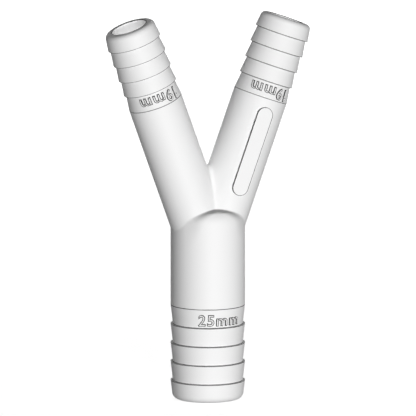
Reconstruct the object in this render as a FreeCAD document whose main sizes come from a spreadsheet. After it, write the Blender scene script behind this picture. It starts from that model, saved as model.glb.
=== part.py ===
import FreeCAD, Part
import Sketcher
import math
import os

# A hose-barb Y connector, moulded in one piece. A barbed stem for 25 mm hose divides into
# two barbed branches for 19 mm hose, which lean to either side in the XZ plane.
# The origin is the centre of the stem's end face, +Z runs up the stem, and the front faces -Y.
# Lengths are in millimetres and angles in degrees. The fork is the point where the axes meet.
SIZES = (
    ("branch_angle", 20.0, "lean of a branch from the stem's axis"),
    ("stem_length", 55.0, "from the stem's end face to the fork"),
    ("stem_body", 27.3, "diameter of the stem's plain barrel"),
    ("stem_peak", 27.3, "diameter over the stem's barbs"),
    ("stem_root", 25.7, "diameter of the stem at the foot of a barb"),
    ("stem_bore", 20.0, "bore of the stem"),
    ("stem_pitch", 7.0, "length of one barb of the stem"),
    ("stem_barbs", 4, "number of barbs on the stem"),
    ("stem_band", 7.0, "length of the tapered band above the stem's barbs"),
    ("stem_nose", 2.6, "rounding of the stem's outer end edge"),
    ("branch_length", 90.0, "from the fork to a branch's end face"),
    ("branch_body", 20.15, "diameter of a branch's plain barrel"),
    ("branch_peak", 20.15, "diameter over a branch's barbs"),
    ("branch_root", 18.6, "diameter of a branch at the foot of a barb"),
    ("branch_bore", 13.2, "bore of a branch"),
    ("branch_pitch", 6.0, "length of one barb of a branch"),
    ("branch_barbs", 4, "number of barbs on a branch"),
    ("branch_band", 6.0, "length of the tapered band below a branch's barbs"),
    ("branch_nose", 1.9, "rounding of a branch's outer end edge"),
    ("shoulder_rise", 11.3, "from the fork to the top of the stem's plain barrel"),
    ("shoulder_round", 5.0, "radius of the shoulder that rounds the barrel's top inwards"),
    ("shoulder_turn", 53.0, "angle that the shoulder's rounding turns before its shallow cone"),
    ("shoulder_slope", 12.0, "angle at which the shallow cone on the shoulder rises to the axis"),
    ("shoulder_ease", 0.8, "rounding between the shoulder's rounding and its shallow cone"),
    ("seam_round", 1.25, "hollow rounding of the seams between the stem and the branches"),
    ("bore_rise", 9.0, "from the fork to the inner end of the stem's bore"),
    ("bore_taper", 2.0, "length of the 45 degree cone that ends the stem's bore"),
    ("pad_length", 34.0, "length of the raised pad on the front of the right branch"),
    ("pad_width", 6.1, "width of the raised pad"),
    ("pad_middle", 39.9, "from the fork to the middle of the pad"),
    ("pad_face", 10.8, "from the branch's axis to the flat face of the pad"),
)
NEAR = 1e-4

# A sketch of the stem has its origin at the stem's end face and its upright axis along +Z.
# A sketch of a branch has its origin at the right branch's end face, with its upright axis
# down the branch's axis to the fork.
STEM_FRAME = {}
BRANCH_FRAME = {
    "Base.x": "Sizes.branch_length * sin(Sizes.branch_angle)",
    "Base.y": "Sizes.stem_length + Sizes.branch_length * cos(Sizes.branch_angle)",
    "Rotation.Angle": "180 - Sizes.branch_angle",
}

document = FreeCAD.newDocument("tubing_y_connector")
sheet = document.addObject("Spreadsheet::Sheet", "Sizes")
for row, (alias, value, meaning) in enumerate(SIZES, start=1):
    sheet.set("A%d" % row, meaning)
    sheet.set("B%d" % row, str(value))
    sheet.setAlias("B%d" % row, alias)
document.recompute()

body = document.addObject("PartDesign::Body", "y_connector")
body.Label = "y_connector"
body.Placement = FreeCAD.Placement()


def amount(expression):
    """The number that an expression on the sheet's sizes comes to."""
    result = body.evalExpression(expression)
    return float(getattr(result, "Value", result))


def origin_plane(role):
    """The body's own origin plane with that role."""
    return next(plane for plane in body.Origin.OriginFeatures if plane.Role == role)


def new_sketch(name, frame):
    """A sketch in the plane of the three axes, moved by the expressions of its frame."""
    sketch = body.newObject("Sketcher::SketchObject", name)
    sketch.AttachmentSupport = [(origin_plane("XZ_Plane"), "")]
    sketch.MapMode = "FlatFace"
    for path, expression in frame.items():
        sketch.setExpression("AttachmentOffset." + path, expression)
    return sketch


def constrain(sketch, kind, *places):
    """Add a constraint without a size."""
    sketch.addConstraint(Sketcher.Constraint(kind, *places))


def dimension(sketch, kind, places, expression):
    """Add a constraint whose size is bound to an expression."""
    index = sketch.addConstraint(Sketcher.Constraint(kind, *places, amount(expression)))
    sketch.setExpression("Constraints[%d]" % index, expression)


def draw_outline(sketch, corners, arc=None):
    """A closed outline through corners, each a radius and a distance along the axis.

    Both are expressions. A corner that shares one of them with the corner before is joined
    to it by an upright or level line, and every other one is a dimension from the origin.
    The line numbered arc, if any, is an arc whose centre is level with its lower end.
    """
    points = [FreeCAD.Vector(amount(radius), amount(along), 0) for radius, along in corners]
    for line, start in enumerate(points):
        end = points[(line + 1) % len(points)]
        if line == arc:
            turn = 2 * math.atan2(start.x - end.x, end.y - start.y)
            arc_radius = (end.y - start.y) / math.sin(turn)
            centre = start - FreeCAD.Vector(arc_radius, 0, 0)
            circle = Part.Circle(centre, FreeCAD.Vector(0, 0, 1), arc_radius)
            sketch.addGeometry(Part.ArcOfCircle(circle, 0, turn))
            constrain(sketch, "Horizontal", line, 3, line, 1)
        else:
            sketch.addGeometry(Part.LineSegment(start, end))
    for line in range(len(points)):
        constrain(sketch, "Coincident", line, 2, (line + 1) % len(points), 1)
    for line, (radius, along) in enumerate(corners):
        radius_before, along_before = corners[line - 1] if line else (None, None)
        if radius == radius_before:
            constrain(sketch, "Vertical", line - 1)
        elif radius == "0":
            constrain(sketch, "PointOnObject", line, 1, -2)
        else:
            dimension(sketch, "DistanceX", (-1, 1, line, 1), radius)
        if along == along_before:
            constrain(sketch, "Horizontal", line - 1)
        elif along == "0":
            constrain(sketch, "PointOnObject", line, 1, -1)
        else:
            dimension(sketch, "DistanceY", (-1, 1, line, 1), along)


def revolve(kind, name, frame, corners, arc=None):
    """A Revolution or Groove of an outline about its sketch's upright axis."""
    profile = new_sketch(name + "_profile", frame)
    draw_outline(profile, corners, arc)
    feature = body.newObject("PartDesign::" + kind, name)
    feature.Profile = profile
    feature.ReferenceAxis = (profile, ["V_Axis"])
    document.recompute()
    return feature


def mirror(name, mode, originals=()):
    """Mirror features, or the whole solid so far, to the other side of the stem."""
    mirrored = body.newObject("PartDesign::Mirrored", name)
    mirrored.TransformMode = mode
    mirrored.Originals = list(originals)
    mirrored.MirrorPlane = (origin_plane("YZ_Plane"), [""])
    body.Tip = mirrored
    document.recompute()


def round_edges(name, picks, radius):
    """A Fillet of those edges of the solid so far that a test picks."""
    solid = body.Tip
    names = ["Edge%d" % number for number, edge in enumerate(solid.Shape.Edges, 1) if picks(edge)]
    fillet = body.newObject("PartDesign::Fillet", name)
    fillet.Base = (solid, names)
    fillet.setExpression("Radius", radius)
    document.recompute()


def circle_picker(centre, diameter):
    """A test for the circular edge with that centre and diameter."""
    def picks(edge):
        curve = edge.Curve
        if curve.TypeId != "Part::GeomCircle":
            return False
        return curve.Center.isEqual(centre, NEAR) and abs(2 * curve.Radius - diameter) < NEAR
    return picks


def picks_seam(edge):
    """True for an edge where the stem meets a branch, or one branch the other."""
    return edge.Curve.TypeId not in ("Part::GeomCircle", "Part::GeomLine")


def hose_tail(tail, frame, reach):
    """The stem or a branch: its root, band and barrel, the barbs on its root, and its nose.

    A barb widens away from the end face and stops at a ledge, square to the axis, that
    holds the hose.
    """
    root = f"Sizes.{tail}_root / 2"
    peak = f"Sizes.{tail}_peak / 2"
    barrel = f"Sizes.{tail}_body / 2"
    pitch = f"Sizes.{tail}_pitch"
    barbed = f"Sizes.{tail}_barbs * {pitch}"
    banded = f"{barbed} + Sizes.{tail}_band"

    core = [("0", "0"), (root, "0"), (root, barbed), (barrel, banded), (barrel, reach), ("0", reach)]
    revolve("Revolution", f"{tail}_core", frame, core)

    wedge = [("0", "0"), (root, "0"), (peak, pitch), ("0", pitch)]
    barb = revolve("Revolution", f"{tail}_barb", frame, wedge)
    barbs = body.newObject("PartDesign::LinearPattern", f"{tail}_barbs")
    barbs.Originals = [barb]
    barbs.Direction = (barb.Profile[0], ["V_Axis"])
    barbs.Mode = "Spacing"
    barbs.setExpression("Offset", pitch)
    barbs.setExpression("Occurrences", f"Sizes.{tail}_barbs")
    body.Tip = barbs
    document.recompute()

    end_edge = circle_picker(barb.Profile[0].Placement.Base, amount(f"Sizes.{tail}_root"))
    round_edges(f"{tail}_nose", end_edge, f"Sizes.{tail}_nose")


def stem_shoulder():
    """The top of the stem: its barrel turns inwards to a shallow cone between the branches."""
    foot = "Sizes.stem_length"
    barrel_top = "Sizes.stem_length + Sizes.shoulder_rise"
    barrel = "Sizes.stem_body / 2"
    rim = f"{barrel} - Sizes.shoulder_round * (1 - cos(Sizes.shoulder_turn))"
    rim_height = f"{barrel_top} + Sizes.shoulder_round * sin(Sizes.shoulder_turn)"
    peak_height = f"{rim_height} + ({rim}) * tan(Sizes.shoulder_slope)"
    corners = [("0", foot), (barrel, foot), (barrel, barrel_top), (rim, rim_height), ("0", peak_height)]
    revolve("Revolution", "stem_shoulder", STEM_FRAME, corners, arc=2)

    rim_edge = circle_picker(FreeCAD.Vector(0, 0, amount(rim_height)), 2 * amount(rim))
    round_edges("shoulder_ease", rim_edge, "Sizes.shoulder_ease")


def raised_pad():
    """A long flat pad with round ends on the front of the right branch."""
    outline = new_sketch("pad_outline", {**BRANCH_FRAME, "Base.z": "Sizes.pad_face"})
    half_width = "Sizes.pad_width / 2"
    middle = "Sizes.branch_length - Sizes.pad_middle"
    half_run = "(Sizes.pad_length - Sizes.pad_width) / 2"
    outer = f"{middle} - {half_run}"
    inner = f"{middle} + {half_run}"
    outer_centre = FreeCAD.Vector(0, amount(outer), 0)
    inner_centre = FreeCAD.Vector(0, amount(inner), 0)
    side = FreeCAD.Vector(amount(half_width), 0, 0)
    facing = FreeCAD.Vector(0, 0, 1)
    inner_end = Part.Circle(inner_centre, facing, side.x)
    outer_end = Part.Circle(outer_centre, facing, side.x)
    outline.addGeometry(Part.LineSegment(outer_centre + side, inner_centre + side))
    outline.addGeometry(Part.ArcOfCircle(inner_end, 0, math.pi))
    outline.addGeometry(Part.LineSegment(inner_centre - side, outer_centre - side))
    outline.addGeometry(Part.ArcOfCircle(outer_end, math.pi, 2 * math.pi))
    for line in range(4):
        constrain(outline, "Tangent", line, 2, (line + 1) % 4, 1)
    constrain(outline, "Vertical", 0)
    constrain(outline, "PointOnObject", 1, 3, -2)
    constrain(outline, "PointOnObject", 3, 3, -2)
    dimension(outline, "Radius", (1,), half_width)
    dimension(outline, "DistanceY", (-1, 1, 1, 3), inner)
    dimension(outline, "DistanceY", (-1, 1, 3, 3), outer)

    pad = body.newObject("PartDesign::Pad", "raised_pad")
    pad.Profile = outline
    pad.Reversed = True
    pad.setExpression("Length", "Sizes.pad_face")
    document.recompute()


def bore_out(tail, frame, reach, taper="0"):
    """Bore a tail from its end face, and make sure that the cut took something away.

    The bore is straight, but for a cone of 45 degrees that narrows it over its last stretch.
    """
    before = body.Tip.Shape.Volume
    wall = f"Sizes.{tail}_bore / 2"
    corners = [("0", "0"), (wall, "0")]
    if taper == "0":
        corners += [(wall, reach), ("0", reach)]
    else:
        corners += [(wall, f"{reach} - {taper}"), (f"{wall} - {taper}", reach), ("0", reach)]
    groove = revolve("Groove", f"{tail}_bore", frame, corners)
    if groove.Shape.Volume >= before:
        raise RuntimeError("the bore of the %s cuts nothing" % tail)
    return groove


hose_tail("stem", STEM_FRAME, "Sizes.stem_length")
stem_shoulder()
hose_tail("branch", BRANCH_FRAME, "Sizes.branch_length")
mirror("both_branches", "Whole shape")
round_edges("seams", picks_seam, "Sizes.seam_round")
raised_pad()

bore_out("stem", STEM_FRAME, "Sizes.stem_length + Sizes.bore_rise", "Sizes.bore_taper")
branch_bore = bore_out("branch", BRANCH_FRAME, "Sizes.branch_length")
mirror("both_bores", "Features", [branch_bore])

for item in document.Objects:
    if "Invalid" in item.State or "Error" in item.State:
        raise RuntimeError("%s is %s" % (item.Name, item.State))
if body.Shape.isNull() or not body.Shape.isValid() or len(body.Shape.Solids) != 1:
    raise RuntimeError("%s is not one valid solid" % body.Label)
os.makedirs("parts", exist_ok=True)
body.Shape.exportStep("parts/%s.step" % body.Label)
print("%s: %.1f mm3, %d faces" % (body.Label, body.Shape.Volume, len(body.Shape.Faces)))
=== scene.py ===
import math

import bmesh
import bpy
from mathutils import Matrix, Vector


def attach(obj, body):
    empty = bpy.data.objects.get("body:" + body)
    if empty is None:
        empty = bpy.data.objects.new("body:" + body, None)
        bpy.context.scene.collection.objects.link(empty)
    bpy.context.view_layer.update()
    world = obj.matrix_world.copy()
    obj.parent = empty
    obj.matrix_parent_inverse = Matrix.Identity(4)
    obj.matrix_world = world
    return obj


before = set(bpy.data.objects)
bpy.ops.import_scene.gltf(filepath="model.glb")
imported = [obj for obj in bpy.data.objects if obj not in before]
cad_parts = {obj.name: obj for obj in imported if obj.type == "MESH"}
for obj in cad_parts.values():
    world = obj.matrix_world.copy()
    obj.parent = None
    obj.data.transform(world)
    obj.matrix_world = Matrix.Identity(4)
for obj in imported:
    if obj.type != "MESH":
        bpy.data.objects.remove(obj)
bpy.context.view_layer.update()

# The connector stands on the end of its stem, at the origin, and its front faces -Y.
# Sizes are in millimetres and match those of the solid. Bores are given as radii.
MM = 0.001
LEAN = math.radians(20.0)
FORK = Vector((0.0, 0.0, 55.0))
STEM_PITCH = 7.0
STEM_BAND = (28.0, 35.0)
STEM_RADIUS = 13.65
STEM_BAND_RADII = (12.85, STEM_RADIUS)
STEM_BORE = 10.0
SHOULDER_FOOT = 66.3
SHOULDER_ROUND = 5.0
BRANCH_END = 90.0
BRANCH_PITCH = 6.0
BRANCH_BAND = (66.0, 60.0)
BRANCH_RADIUS = 10.075
BRANCH_BAND_RADII = (9.3, BRANCH_RADIUS)
BRANCH_BORE = 6.6
PAD_MIDDLE = 39.9
PAD_HALF_RUN = 13.95
PAD_HALF_WIDTH = 3.05
PAD_LINE_BACK = -10.1

# The photograph is a parallel view, and its middle lies a little right of the fork and above it.
FRAME_PIXELS = 416
PIXELS_PER_MM = 2.73
AZIMUTH = math.radians(-20.0)
ELEVATION = math.radians(9.67)
FORK_TO_MIDDLE = (0.08, 15.40)

# The staging is in metres.
CAMERA_DISTANCE = 0.6
LAMP_DISTANCE = 1.6
LAMP_AIM = Vector((0.0, 0.0, 72.0)) * MM
FLOOR_HALF = 3.0
FLOOR_DROP = 0.05 * MM

# The floor's glow adds to the light of the lamps on it: together they look white, and a shadow stays
# a little darker. The world shines on the object much more faintly than it looks.
FLOOR_GLOW = 0.77
FLOOR_COLOUR = 0.95
WORLD_LIGHT = 0.03

# Greys of the plastic. The walls of the size marks are dark, as the photograph shows them: that dark
# grey is painted shade on their steep sides.
# The mottle is a share of the grey that it darkens.
WHITE = 0.93
MARK_WALL_SHADE = 0.08
# CREASE_SHADE is the dark grey of the painted shade along the creases.
CREASE_SHADE = 0.05
MOTTLE = 0.985

# The skin of the plastic: its roughness from the smoothest to the roughest place, and its gloss.
ROUGHNESS = (0.45, 0.55)
REFRACTION = 1.46
GLOSS = 0.12
GRAIN_STRENGTH = 0.04
GRAIN_DEPTH = 0.04 * MM

# Half widths of the painted shade along the creases, in millimetres, and its strengths from 0 to 1.
SOFT_EDGE = 0.04
RING_WIDTH = 0.19
LEDGE_WIDTH = 0.02
LEDGE_STRENGTH = 0.5
BRANCH_RING_STRENGTH = 0.85
BAND_TOP_WIDTH = 0.14
BORE_MARGIN = 0.5
RIM_WIDTH = 0.3
RIM_DEPTH = 0.2
PAD_EDGE_WIDTH = 0.20
PAD_EDGE_STRENGTH = 0.93

# The soft shade above the shoulder: how fast it fades off each surface and off the middle.
SEAM_OFF_BRANCH = 0.5
SEAM_OFF_SHOULDER = 2.6
SEAM_REACH = 0.6
SEAM_HALF_LENGTH = 8.0
SEAM_FADE = 4.0
SEAM_STRENGTH = 0.75


def direction(azimuth, elevation):
    """The unit vector from the object towards a viewer or a lamp at those angles."""
    level = math.cos(elevation)
    return Vector((math.sin(azimuth) * level, -math.cos(azimuth) * level, math.sin(elevation)))


def facing(back):
    """The rotation of a camera or lamp that looks along -back with its top up."""
    right = Vector((0, 0, 1)).cross(back).normalized()
    return Matrix((right, back.cross(right), back)).transposed()


# Camera

def add_camera():
    """The photograph's camera."""
    back = direction(AZIMUTH, ELEVATION)
    rotation = facing(back)
    right, up = rotation.col[0], rotation.col[1]
    target = (FORK + right * FORK_TO_MIDDLE[0] + up * FORK_TO_MIDDLE[1]) * MM
    lens = bpy.data.cameras.new("camera")
    lens.type = "ORTHO"
    lens.ortho_scale = FRAME_PIXELS / PIXELS_PER_MM * MM
    camera = bpy.data.objects.new("camera", lens)
    camera.matrix_world = Matrix.Translation(target + back * CAMERA_DISTANCE) @ rotation.to_4x4()
    bpy.context.scene.collection.objects.link(camera)
    bpy.context.scene.camera = camera


# Node materials

# Sockets of a Mix node share their names: the places of its factor, its two inputs and its result.
MIX_SOCKETS = {"FLOAT": (0, 2, 3, 0), "RGBA": (0, 6, 7, 2)}


def grey(level):
    """An opaque grey."""
    return (level, level, level, 1.0)


class Nodes:
    """A short way to write a material's nodes."""

    def __init__(self, tree):
        self.tree = tree
        tree.nodes.clear()

    def put(self, socket, value):
        """Link a socket to an output, or set it to a plain value."""
        if isinstance(value, bpy.types.NodeSocket):
            self.tree.links.new(value, socket)
        else:
            socket.default_value = value

    def add(self, kind, **inputs):
        """A new node; each keyword names an input, with _ for a space."""
        node = self.tree.nodes.new(kind)
        for name, value in inputs.items():
            self.put(node.inputs[name.replace("_", " ")], value)
        return node

    def mix(self, data_type, share, first, second):
        """A value or colour that goes from first to second as share goes from 0 to 1."""
        node = self.tree.nodes.new("ShaderNodeMix")
        node.data_type = data_type
        *places, result = MIX_SOCKETS[data_type]
        for place, value in zip(places, (share, first, second)):
            self.put(node.inputs[place], value)
        return node.outputs[result]

    def math(self, operation, *values):
        node = self.tree.nodes.new("ShaderNodeMath")
        node.operation = operation
        for socket, value in zip(node.inputs, values):
            self.put(socket, value)
        return node.outputs[0]

    def chain(self, operation, result, *others):
        """All the values joined by an operation that takes two."""
        for value in others:
            result = self.math(operation, result, value)
        return result

    def weighted(self, *terms):
        """The sum of value times factor over the terms."""
        total = 0.0
        for value, factor in terms:
            total = self.math("MULTIPLY_ADD", value, factor, total)
        return total

    def apart(self, a, b):
        """The distance between two values."""
        return self.math("ABSOLUTE", self.math("SUBTRACT", a, b))

    def beyond(self, value, limit):
        """How far value is over limit, or 0."""
        return self.math("MAXIMUM", self.math("SUBTRACT", value, limit), 0.0)

    def near(self, distance, half_width, soft=SOFT_EDGE):
        """1 where distance is under half_width, falling to 0 over a soft edge."""
        node = self.add(
            "ShaderNodeMapRange", Value=distance,
            From_Min=half_width - soft, From_Max=half_width + soft, To_Min=1.0, To_Max=0.0,
        )
        node.interpolation_type = "SMOOTHSTEP"
        return node.outputs["Result"]

    def between(self, value, low, high):
        """1 between low and high, otherwise 0."""
        over = self.math("GREATER_THAN", value, low)
        return self.math("MULTIPLY", over, self.math("LESS_THAN", value, high))

    def off_grid(self, value, pitch):
        """The distance from value to the nearest multiple of pitch."""
        wrapped = self.math("WRAP", value, pitch / 2, -pitch / 2)
        return self.math("ABSOLUTE", wrapped)

    def length(self, a, b):
        """The length of the flat vector (a, b)."""
        squares = self.math("MULTIPLY_ADD", a, a, self.math("MULTIPLY", b, b))
        return self.math("SQRT", squares)


def ring_shade(nodes, radius, bore, depth, pitch, band_top):
    """Painted shade: 1 at the foot and the lip of each barb and along the top of the band, and less on
    the ledges.

    The depth is measured from the end. The wall of the bore is left out.
    """
    step = nodes.off_grid(depth, pitch)
    on_barbs = nodes.between(depth, pitch / 2, band_top - pitch / 2)
    off_ledge = nodes.math("GREATER_THAN", step, LEDGE_WIDTH)
    strength = nodes.math("MULTIPLY_ADD", off_ledge, 1.0 - LEDGE_STRENGTH, LEDGE_STRENGTH)
    barbs = nodes.chain("MULTIPLY", nodes.near(step, RING_WIDTH), on_barbs, strength)
    top = nodes.near(nodes.apart(depth, band_top), BAND_TOP_WIDTH)
    outside = nodes.math("GREATER_THAN", radius, bore + BORE_MARGIN)
    return nodes.math("MULTIPLY", nodes.math("MAXIMUM", barbs, top), outside)


def rim_shade(nodes, radius, bore, depth):
    """Painted shade: 1 along the edge where a bore meets its end face; depth is measured from that
    face.
    """
    beside = nodes.near(nodes.apart(radius, bore), RIM_WIDTH)
    return nodes.math("MULTIPLY", beside, nodes.near(nodes.math("ABSOLUTE", depth), RIM_DEPTH))


def seam(nodes, x, y, z, across):
    """The soft shade in the hollow where the branches rise from the shoulder, fading to the sides."""
    off_branch = nodes.beyond(nodes.length(across, y), BRANCH_RADIUS)
    outward = nodes.math("SUBTRACT", nodes.length(x, y), STEM_RADIUS - SHOULDER_ROUND)
    upward = nodes.beyond(z, SHOULDER_FOOT)
    off_shoulder = nodes.beyond(nodes.length(outward, upward), SHOULDER_ROUND)
    distance = nodes.weighted((off_branch, SEAM_OFF_BRANCH), (off_shoulder, SEAM_OFF_SHOULDER))
    hollow = nodes.near(distance, SEAM_REACH, SEAM_REACH)
    middle = nodes.near(nodes.math("ABSOLUTE", x), SEAM_HALF_LENGTH, SEAM_FADE)
    return nodes.chain("MULTIPLY", hollow, middle, SEAM_STRENGTH)


def pad_edge_shade(nodes, x, y, along, across):
    """Painted shade: the dark line along the edge of the raised pad on the right branch, down its wall
    to PAD_LINE_BACK.
    """
    past_straight = nodes.beyond(nodes.apart(along, PAD_MIDDLE), PAD_HALF_RUN)
    from_edge = nodes.apart(nodes.length(past_straight, across), PAD_HALF_WIDTH)
    line = nodes.near(from_edge, PAD_EDGE_WIDTH)
    in_front = nodes.math("LESS_THAN", y, PAD_LINE_BACK)
    on_right = nodes.math("GREATER_THAN", x, 0.0)
    return nodes.chain("MULTIPLY", line, in_front, on_right, PAD_EDGE_STRENGTH)


def painted_crease_shade(nodes, x, y, z):
    """How strongly a point gets painted shade: along the thin creases, the bore rims and the pad's
    edge, and in the hollow above the shoulder.
    """
    height = nodes.math("SUBTRACT", z, FORK.z)
    side = nodes.math("ABSOLUTE", x)
    along = nodes.weighted((side, math.sin(LEAN)), (height, math.cos(LEAN)))
    across = nodes.weighted((side, math.cos(LEAN)), (height, -math.sin(LEAN)))

    stem_radius = nodes.length(x, y)
    stem_ring_shade = ring_shade(nodes, stem_radius, STEM_BORE, z, STEM_PITCH, STEM_BAND[1])
    stem_rim_shade = rim_shade(nodes, stem_radius, STEM_BORE, z)

    depth = nodes.math("SUBTRACT", BRANCH_END, along)
    branch_radius = nodes.length(across, y)
    band_top = BRANCH_END - BRANCH_BAND[1]
    branch_ring_shade = ring_shade(nodes, branch_radius, BRANCH_BORE, depth, BRANCH_PITCH, band_top)
    branch_ring_shade = nodes.math("MULTIPLY", branch_ring_shade, BRANCH_RING_STRENGTH)
    branch_rim_shade = rim_shade(nodes, branch_radius, BRANCH_BORE, depth)

    hollow = seam(nodes, x, y, z, across)
    pad = pad_edge_shade(nodes, x, y, along, across)
    return nodes.chain("MAXIMUM", hollow, stem_ring_shade, branch_ring_shade, branch_rim_shade, stem_rim_shade, pad)


def moulded_plastic(name, level, painted_shade=False):
    """Moulded plastic: a satin skin with a very fine mould grain and a faint mottle, and, when asked, a
    dark grey painted along its creases as painted shade.
    """
    material = bpy.data.materials.new(name)
    material.use_nodes = True
    nodes = Nodes(material.node_tree)
    in_mm = nodes.add("ShaderNodeVectorMath")
    in_mm.operation = "SCALE"
    nodes.put(in_mm.inputs["Vector"], nodes.add("ShaderNodeTexCoord").outputs["Object"])
    nodes.put(in_mm.inputs["Scale"], 1.0 / MM)
    where = in_mm.outputs["Vector"]

    mottle = nodes.add("ShaderNodeTexNoise", Vector=where, Scale=0.11, Detail=3.0, Roughness=0.55)
    noise = nodes.add("ShaderNodeTexNoise", Vector=where, Scale=3.2, Detail=2.0, Roughness=0.6)
    grain = noise.outputs["Fac"]
    base = nodes.mix("RGBA", mottle.outputs["Fac"], grey(level * MOTTLE), grey(level))
    if painted_shade:
        # Painted shade: a dark grey mixed into the colour along the barbs' ledges, the band tops, the
        # bore rims, the pad's edge and the hollow above the shoulder.
        split = nodes.add("ShaderNodeSeparateXYZ", Vector=where)
        base = nodes.mix("RGBA", painted_crease_shade(nodes, *split.outputs), base, grey(CREASE_SHADE))

    low, high = ROUGHNESS
    rough = nodes.add("ShaderNodeMapRange", Value=grain, To_Min=low, To_Max=high)
    bump = nodes.add("ShaderNodeBump", Strength=GRAIN_STRENGTH, Distance=GRAIN_DEPTH, Height=grain)
    skin = nodes.add(
        "ShaderNodeBsdfPrincipled", Base_Color=base, Roughness=rough.outputs["Result"],
        Normal=bump.outputs["Normal"], IOR=REFRACTION, Specular_IOR_Level=GLOSS,
    )
    nodes.add("ShaderNodeOutputMaterial", Surface=skin.outputs["BSDF"])
    return material


# Size marks

# Sizes of a glyph are shares of the type size. Along the line, the ink of each glyph runs from
# the first to the second number of its pair.
TYPE_SIZE = 5.75
FIGURE_HEIGHT = 0.72
GLYPH_PLACES = {
    "25mm": ((0.0, 0.48), (0.56, 1.03), (1.14, 1.91), (2.04, 2.81)),
    "19mm": ((0.0, 0.25), (0.41, 0.89), (1.0, 1.77), (1.90, 2.67)),
}
GLYPH_BOLD = 0.035
GLYPH_BEVEL = 0.05

# How far the letters stand out of the band and reach into it, and the length of a straight piece
# when they are bent round it, in millimetres.
LETTER_RISE = 0.36
LETTER_FOOT = -0.2
LETTER_STEP = 0.5

# Where a flat letter's normal points this far up, it is the letter's face, and elsewhere its wall,
# which gets the painted shade.
FACE_NORMAL = 0.95

# Where the lines stand on the bands: along the barrel, and round it from the front.
STEM_BASELINE = 28.95
BRANCH_BASELINE = 64.75
BRANCH_LINE_SHIFT = 0.55


def plain_one():
    """A figure one without feet, as a flat curve."""
    curve = bpy.data.curves.new("glyph", "CURVE")
    curve.dimensions = "2D"
    curve.fill_mode = "BOTH"
    left, right, top = 0.14, 0.27, FIGURE_HEIGHT
    corners = (
        (left, 0.0), (right, 0.0), (right, top), (0.17, top),
        (left, 0.65), (0.0, 0.60), (0.0, 0.50), (left, 0.50),
    )
    line = curve.splines.new("POLY")
    line.points.add(len(corners) - 1)
    for point, (x, y) in zip(line.points, corners):
        point.co = (x, y, 0.0, 1.0)
    line.use_cyclic_u = True
    return curve


def letter(glyph):
    """A letter of the built-in type, as a flat curve."""
    curve = bpy.data.curves.new("glyph", "FONT")
    curve.body = glyph
    curve.resolution_u = 5
    return curve


def glyph_form(glyph):
    """One raised glyph as a mesh in units of its own: bold, and bevelled round its face."""
    curve = plain_one() if glyph == "1" else letter(glyph)
    curve.offset = GLYPH_BOLD - GLYPH_BEVEL
    curve.extrude = GLYPH_BEVEL
    curve.bevel_depth = GLYPH_BEVEL
    curve.bevel_resolution = 0
    solid = bpy.data.objects.new("glyph", curve)
    bpy.context.scene.collection.objects.link(solid)
    bpy.context.view_layer.update()
    evaluated = solid.evaluated_get(bpy.context.evaluated_depsgraph_get())
    mesh = bpy.data.meshes.new_from_object(evaluated)
    bpy.data.objects.remove(solid)
    form = bmesh.new()
    form.from_mesh(mesh)
    bpy.data.meshes.remove(mesh)
    bmesh.ops.remove_doubles(form, verts=form.verts, dist=1e-4)
    return form


def reach(form, axis):
    """The lowest and highest coordinate of a form along an axis."""
    values = [v.co[axis] for v in form.verts]
    return min(values), max(values)


def raised_mark(text):
    """The flat form of a mark in millimetres, centred on x, with its baseline at y = 0."""
    figure_top = reach(glyph_form("5"), 1)[1]
    line_end = GLYPH_PLACES[text][-1][1]
    mark = bmesh.new()
    for glyph, (start, stop) in zip(text, GLYPH_PLACES[text]):
        form = glyph_form(glyph)
        left, right = reach(form, 0)
        back, front = reach(form, 2)
        scale_y = 1.0 if glyph == "1" else figure_top / FIGURE_HEIGHT
        for v in form.verts:
            share = (v.co.x - left) / (right - left)
            u = start + (stop - start) * share - line_end / 2
            rise = LETTER_FOOT + (LETTER_RISE - LETTER_FOOT) * (v.co.z - back) / (front - back)
            v.co = (u * TYPE_SIZE, v.co.y / scale_y * TYPE_SIZE, rise)
        part = bpy.data.meshes.new("glyph")
        form.to_mesh(part)
        form.free()
        mark.from_mesh(part)
        bpy.data.meshes.remove(part)
    return mark


def add_size_mark(name, text, place, materials):
    """A raised size mark, laid on a band by place(u, v, rise); materials are its face and its wall."""
    form = raised_mark(text)
    form.normal_update()
    for face in form.faces:
        face.material_index = 0 if face.normal.z > FACE_NORMAL else 1
    left, right = reach(form, 0)
    cut = left + LETTER_STEP
    while cut < right:
        geometry = list(form.verts) + list(form.edges) + list(form.faces)
        bmesh.ops.bisect_plane(form, geom=geometry, plane_co=(cut, 0, 0), plane_no=(1, 0, 0))
        cut += LETTER_STEP
    for v in form.verts:
        v.co = place(*v.co) * MM
    mesh = bpy.data.meshes.new(name)
    form.to_mesh(mesh)
    form.free()
    mark = bpy.data.objects.new(name, mesh)
    bpy.context.scene.collection.objects.link(mark)
    for material in materials:
        mesh.materials.append(material)
    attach(mark, "root")


def band_place(base, axis, reading_up, shift, baseline, band, radii):
    """A function that lays (u, v, rise) on a tapered band round the axis from base.

    The letters' tops point along reading_up, and the line's middle is shifted round the barrel.
    """
    front = Vector((0, -1, 0))
    side = reading_up.cross(front)
    sign = reading_up.dot(axis)

    def place(u, v, rise):
        along = baseline + sign * v
        share = (along - band[0]) / (band[1] - band[0])
        radius = radii[0] + (radii[1] - radii[0]) * share
        angle = (shift + u) / radius
        out = front * math.cos(angle) + side * math.sin(angle)
        return base + axis * along + out * (radius + rise)
    return place


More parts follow.
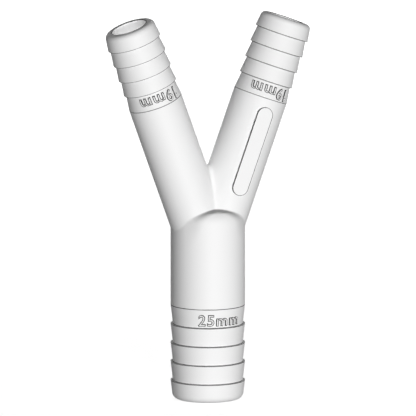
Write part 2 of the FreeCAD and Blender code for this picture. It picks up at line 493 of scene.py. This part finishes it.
def add_size_marks(materials):
    """The hose sizes: one mark on the stem's band, and one upside down on each branch's band."""
    foot = Vector((0, 0, 0))
    up = Vector((0, 0, 1))
    stem = band_place(foot, up, up, 0.0, STEM_BASELINE, STEM_BAND, STEM_BAND_RADII)
    add_size_mark("size_mark_stem", "25mm", stem, materials)
    for name, lean in (("size_mark_right_branch", LEAN), ("size_mark_left_branch", -LEAN)):
        axis = Vector((math.sin(lean), 0, math.cos(lean)))
        branch = band_place(
            FORK, axis, -axis, BRANCH_LINE_SHIFT, BRANCH_BASELINE, BRANCH_BAND, BRANCH_BAND_RADII,
        )
        add_size_mark(name, "19mm", branch, materials)


# Floor, world and lamps

def seen_directly(nodes):
    """1 for rays that should meet a white background: from the camera, a mirror or a clear piece."""
    path = nodes.add("ShaderNodeLightPath").outputs
    rays = (path["Is Camera Ray"], path["Is Glossy Ray"], path["Is Transmission Ray"])
    return nodes.chain("MAXIMUM", *rays)


def add_floor():
    """A floor that looks white, keeps the object's shadow and throws no light up at the object.

    It lies just under the stem's end face, so that the two don't fight for the same place.
    """
    mesh = bpy.data.meshes.new("floor")
    half, low = FLOOR_HALF, -FLOOR_DROP
    corners = [(-half, -half, low), (half, -half, low), (half, half, low), (-half, half, low)]
    mesh.from_pydata(corners, [], [(0, 1, 2, 3)])
    floor = bpy.data.objects.new("floor", mesh)
    bpy.context.scene.collection.objects.link(floor)
    material = bpy.data.materials.new("floor")
    material.use_nodes = True
    nodes = Nodes(material.node_tree)
    lit = nodes.add("ShaderNodeBsdfDiffuse", Color=grey(FLOOR_COLOUR))
    glow = nodes.add("ShaderNodeEmission", Color=grey(1.0), Strength=FLOOR_GLOW)
    both = nodes.add("ShaderNodeAddShader")
    for socket, shader in zip(both.inputs, (lit, glow)):
        nodes.put(socket, shader.outputs[0])
    seen = nodes.add("ShaderNodeMixShader", Fac=seen_directly(nodes))
    *_, when_seen = seen.inputs
    nodes.put(when_seen, both.outputs[0])
    nodes.add("ShaderNodeOutputMaterial", Surface=seen.outputs[0])
    mesh.materials.append(material)


def add_world():
    """A white surround that lights the object only faintly."""
    world = bpy.data.worlds.new("world")
    bpy.context.scene.world = world
    world.use_nodes = True
    nodes = Nodes(world.node_tree)
    strength = nodes.mix("FLOAT", seen_directly(nodes), WORLD_LIGHT, 1.0)
    sky = nodes.add("ShaderNodeBackground", Color=grey(1.0), Strength=strength)
    nodes.add("ShaderNodeOutputWorld", Surface=sky.outputs[0])


def add_lamp(name, azimuth, elevation, size, level, shadow=True, glint=False):
    """A soft lamp aimed at the object, its size as (width, height).

    The level is how bright it makes white that faces it.
    """
    back = direction(math.radians(azimuth), math.radians(elevation))
    lamp = bpy.data.lights.new(name, "AREA")
    lamp.shape = "RECTANGLE"
    lamp.size, lamp.size_y = size
    lamp.energy = level * math.pi ** 2 * LAMP_DISTANCE ** 2
    lamp.use_shadow = shadow
    holder = bpy.data.objects.new(name, lamp)
    spot = Matrix.Translation(LAMP_AIM + back * LAMP_DISTANCE)
    holder.matrix_world = spot @ facing(back).to_4x4()
    holder.visible_camera = False
    holder.visible_glossy = glint
    bpy.context.scene.collection.objects.link(holder)


def add_lamps():
    """The light from the front, a little from above, and two lamps for the back.

    key_fill stands below the floor's level, so it casts no shadow.
    """
    add_lamp("key", -7.0, 3.0, (0.4, 0.12), 0.44, glint=True)
    add_lamp("key_fill", -7.0, -8.0, (0.4, 0.12), 0.53, shadow=False, glint=True)
    add_lamp("top", -10.0, 80.0, (0.5, 0.5), 0.06)
    add_lamp("back", 155.0, 5.0, (0.5, 0.2), 0.65)
    add_lamp("back_left", -165.0, 5.0, (0.5, 0.2), 0.25)


bpy.context.scene.view_settings.view_transform = "Standard"
add_camera()
add_world()
add_floor()
add_lamps()

skin = moulded_plastic("white_plastic", WHITE, painted_shade=True)
# The walls of the size marks get a dark grey as painted shade.
wall = moulded_plastic("mark_wall_painted_shade", MARK_WALL_SHADE)
face = moulded_plastic("mark_face", WHITE)
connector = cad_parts["y_connector"]
connector.data.materials.clear()
connector.data.materials.append(skin)
add_size_marks((face, wall))
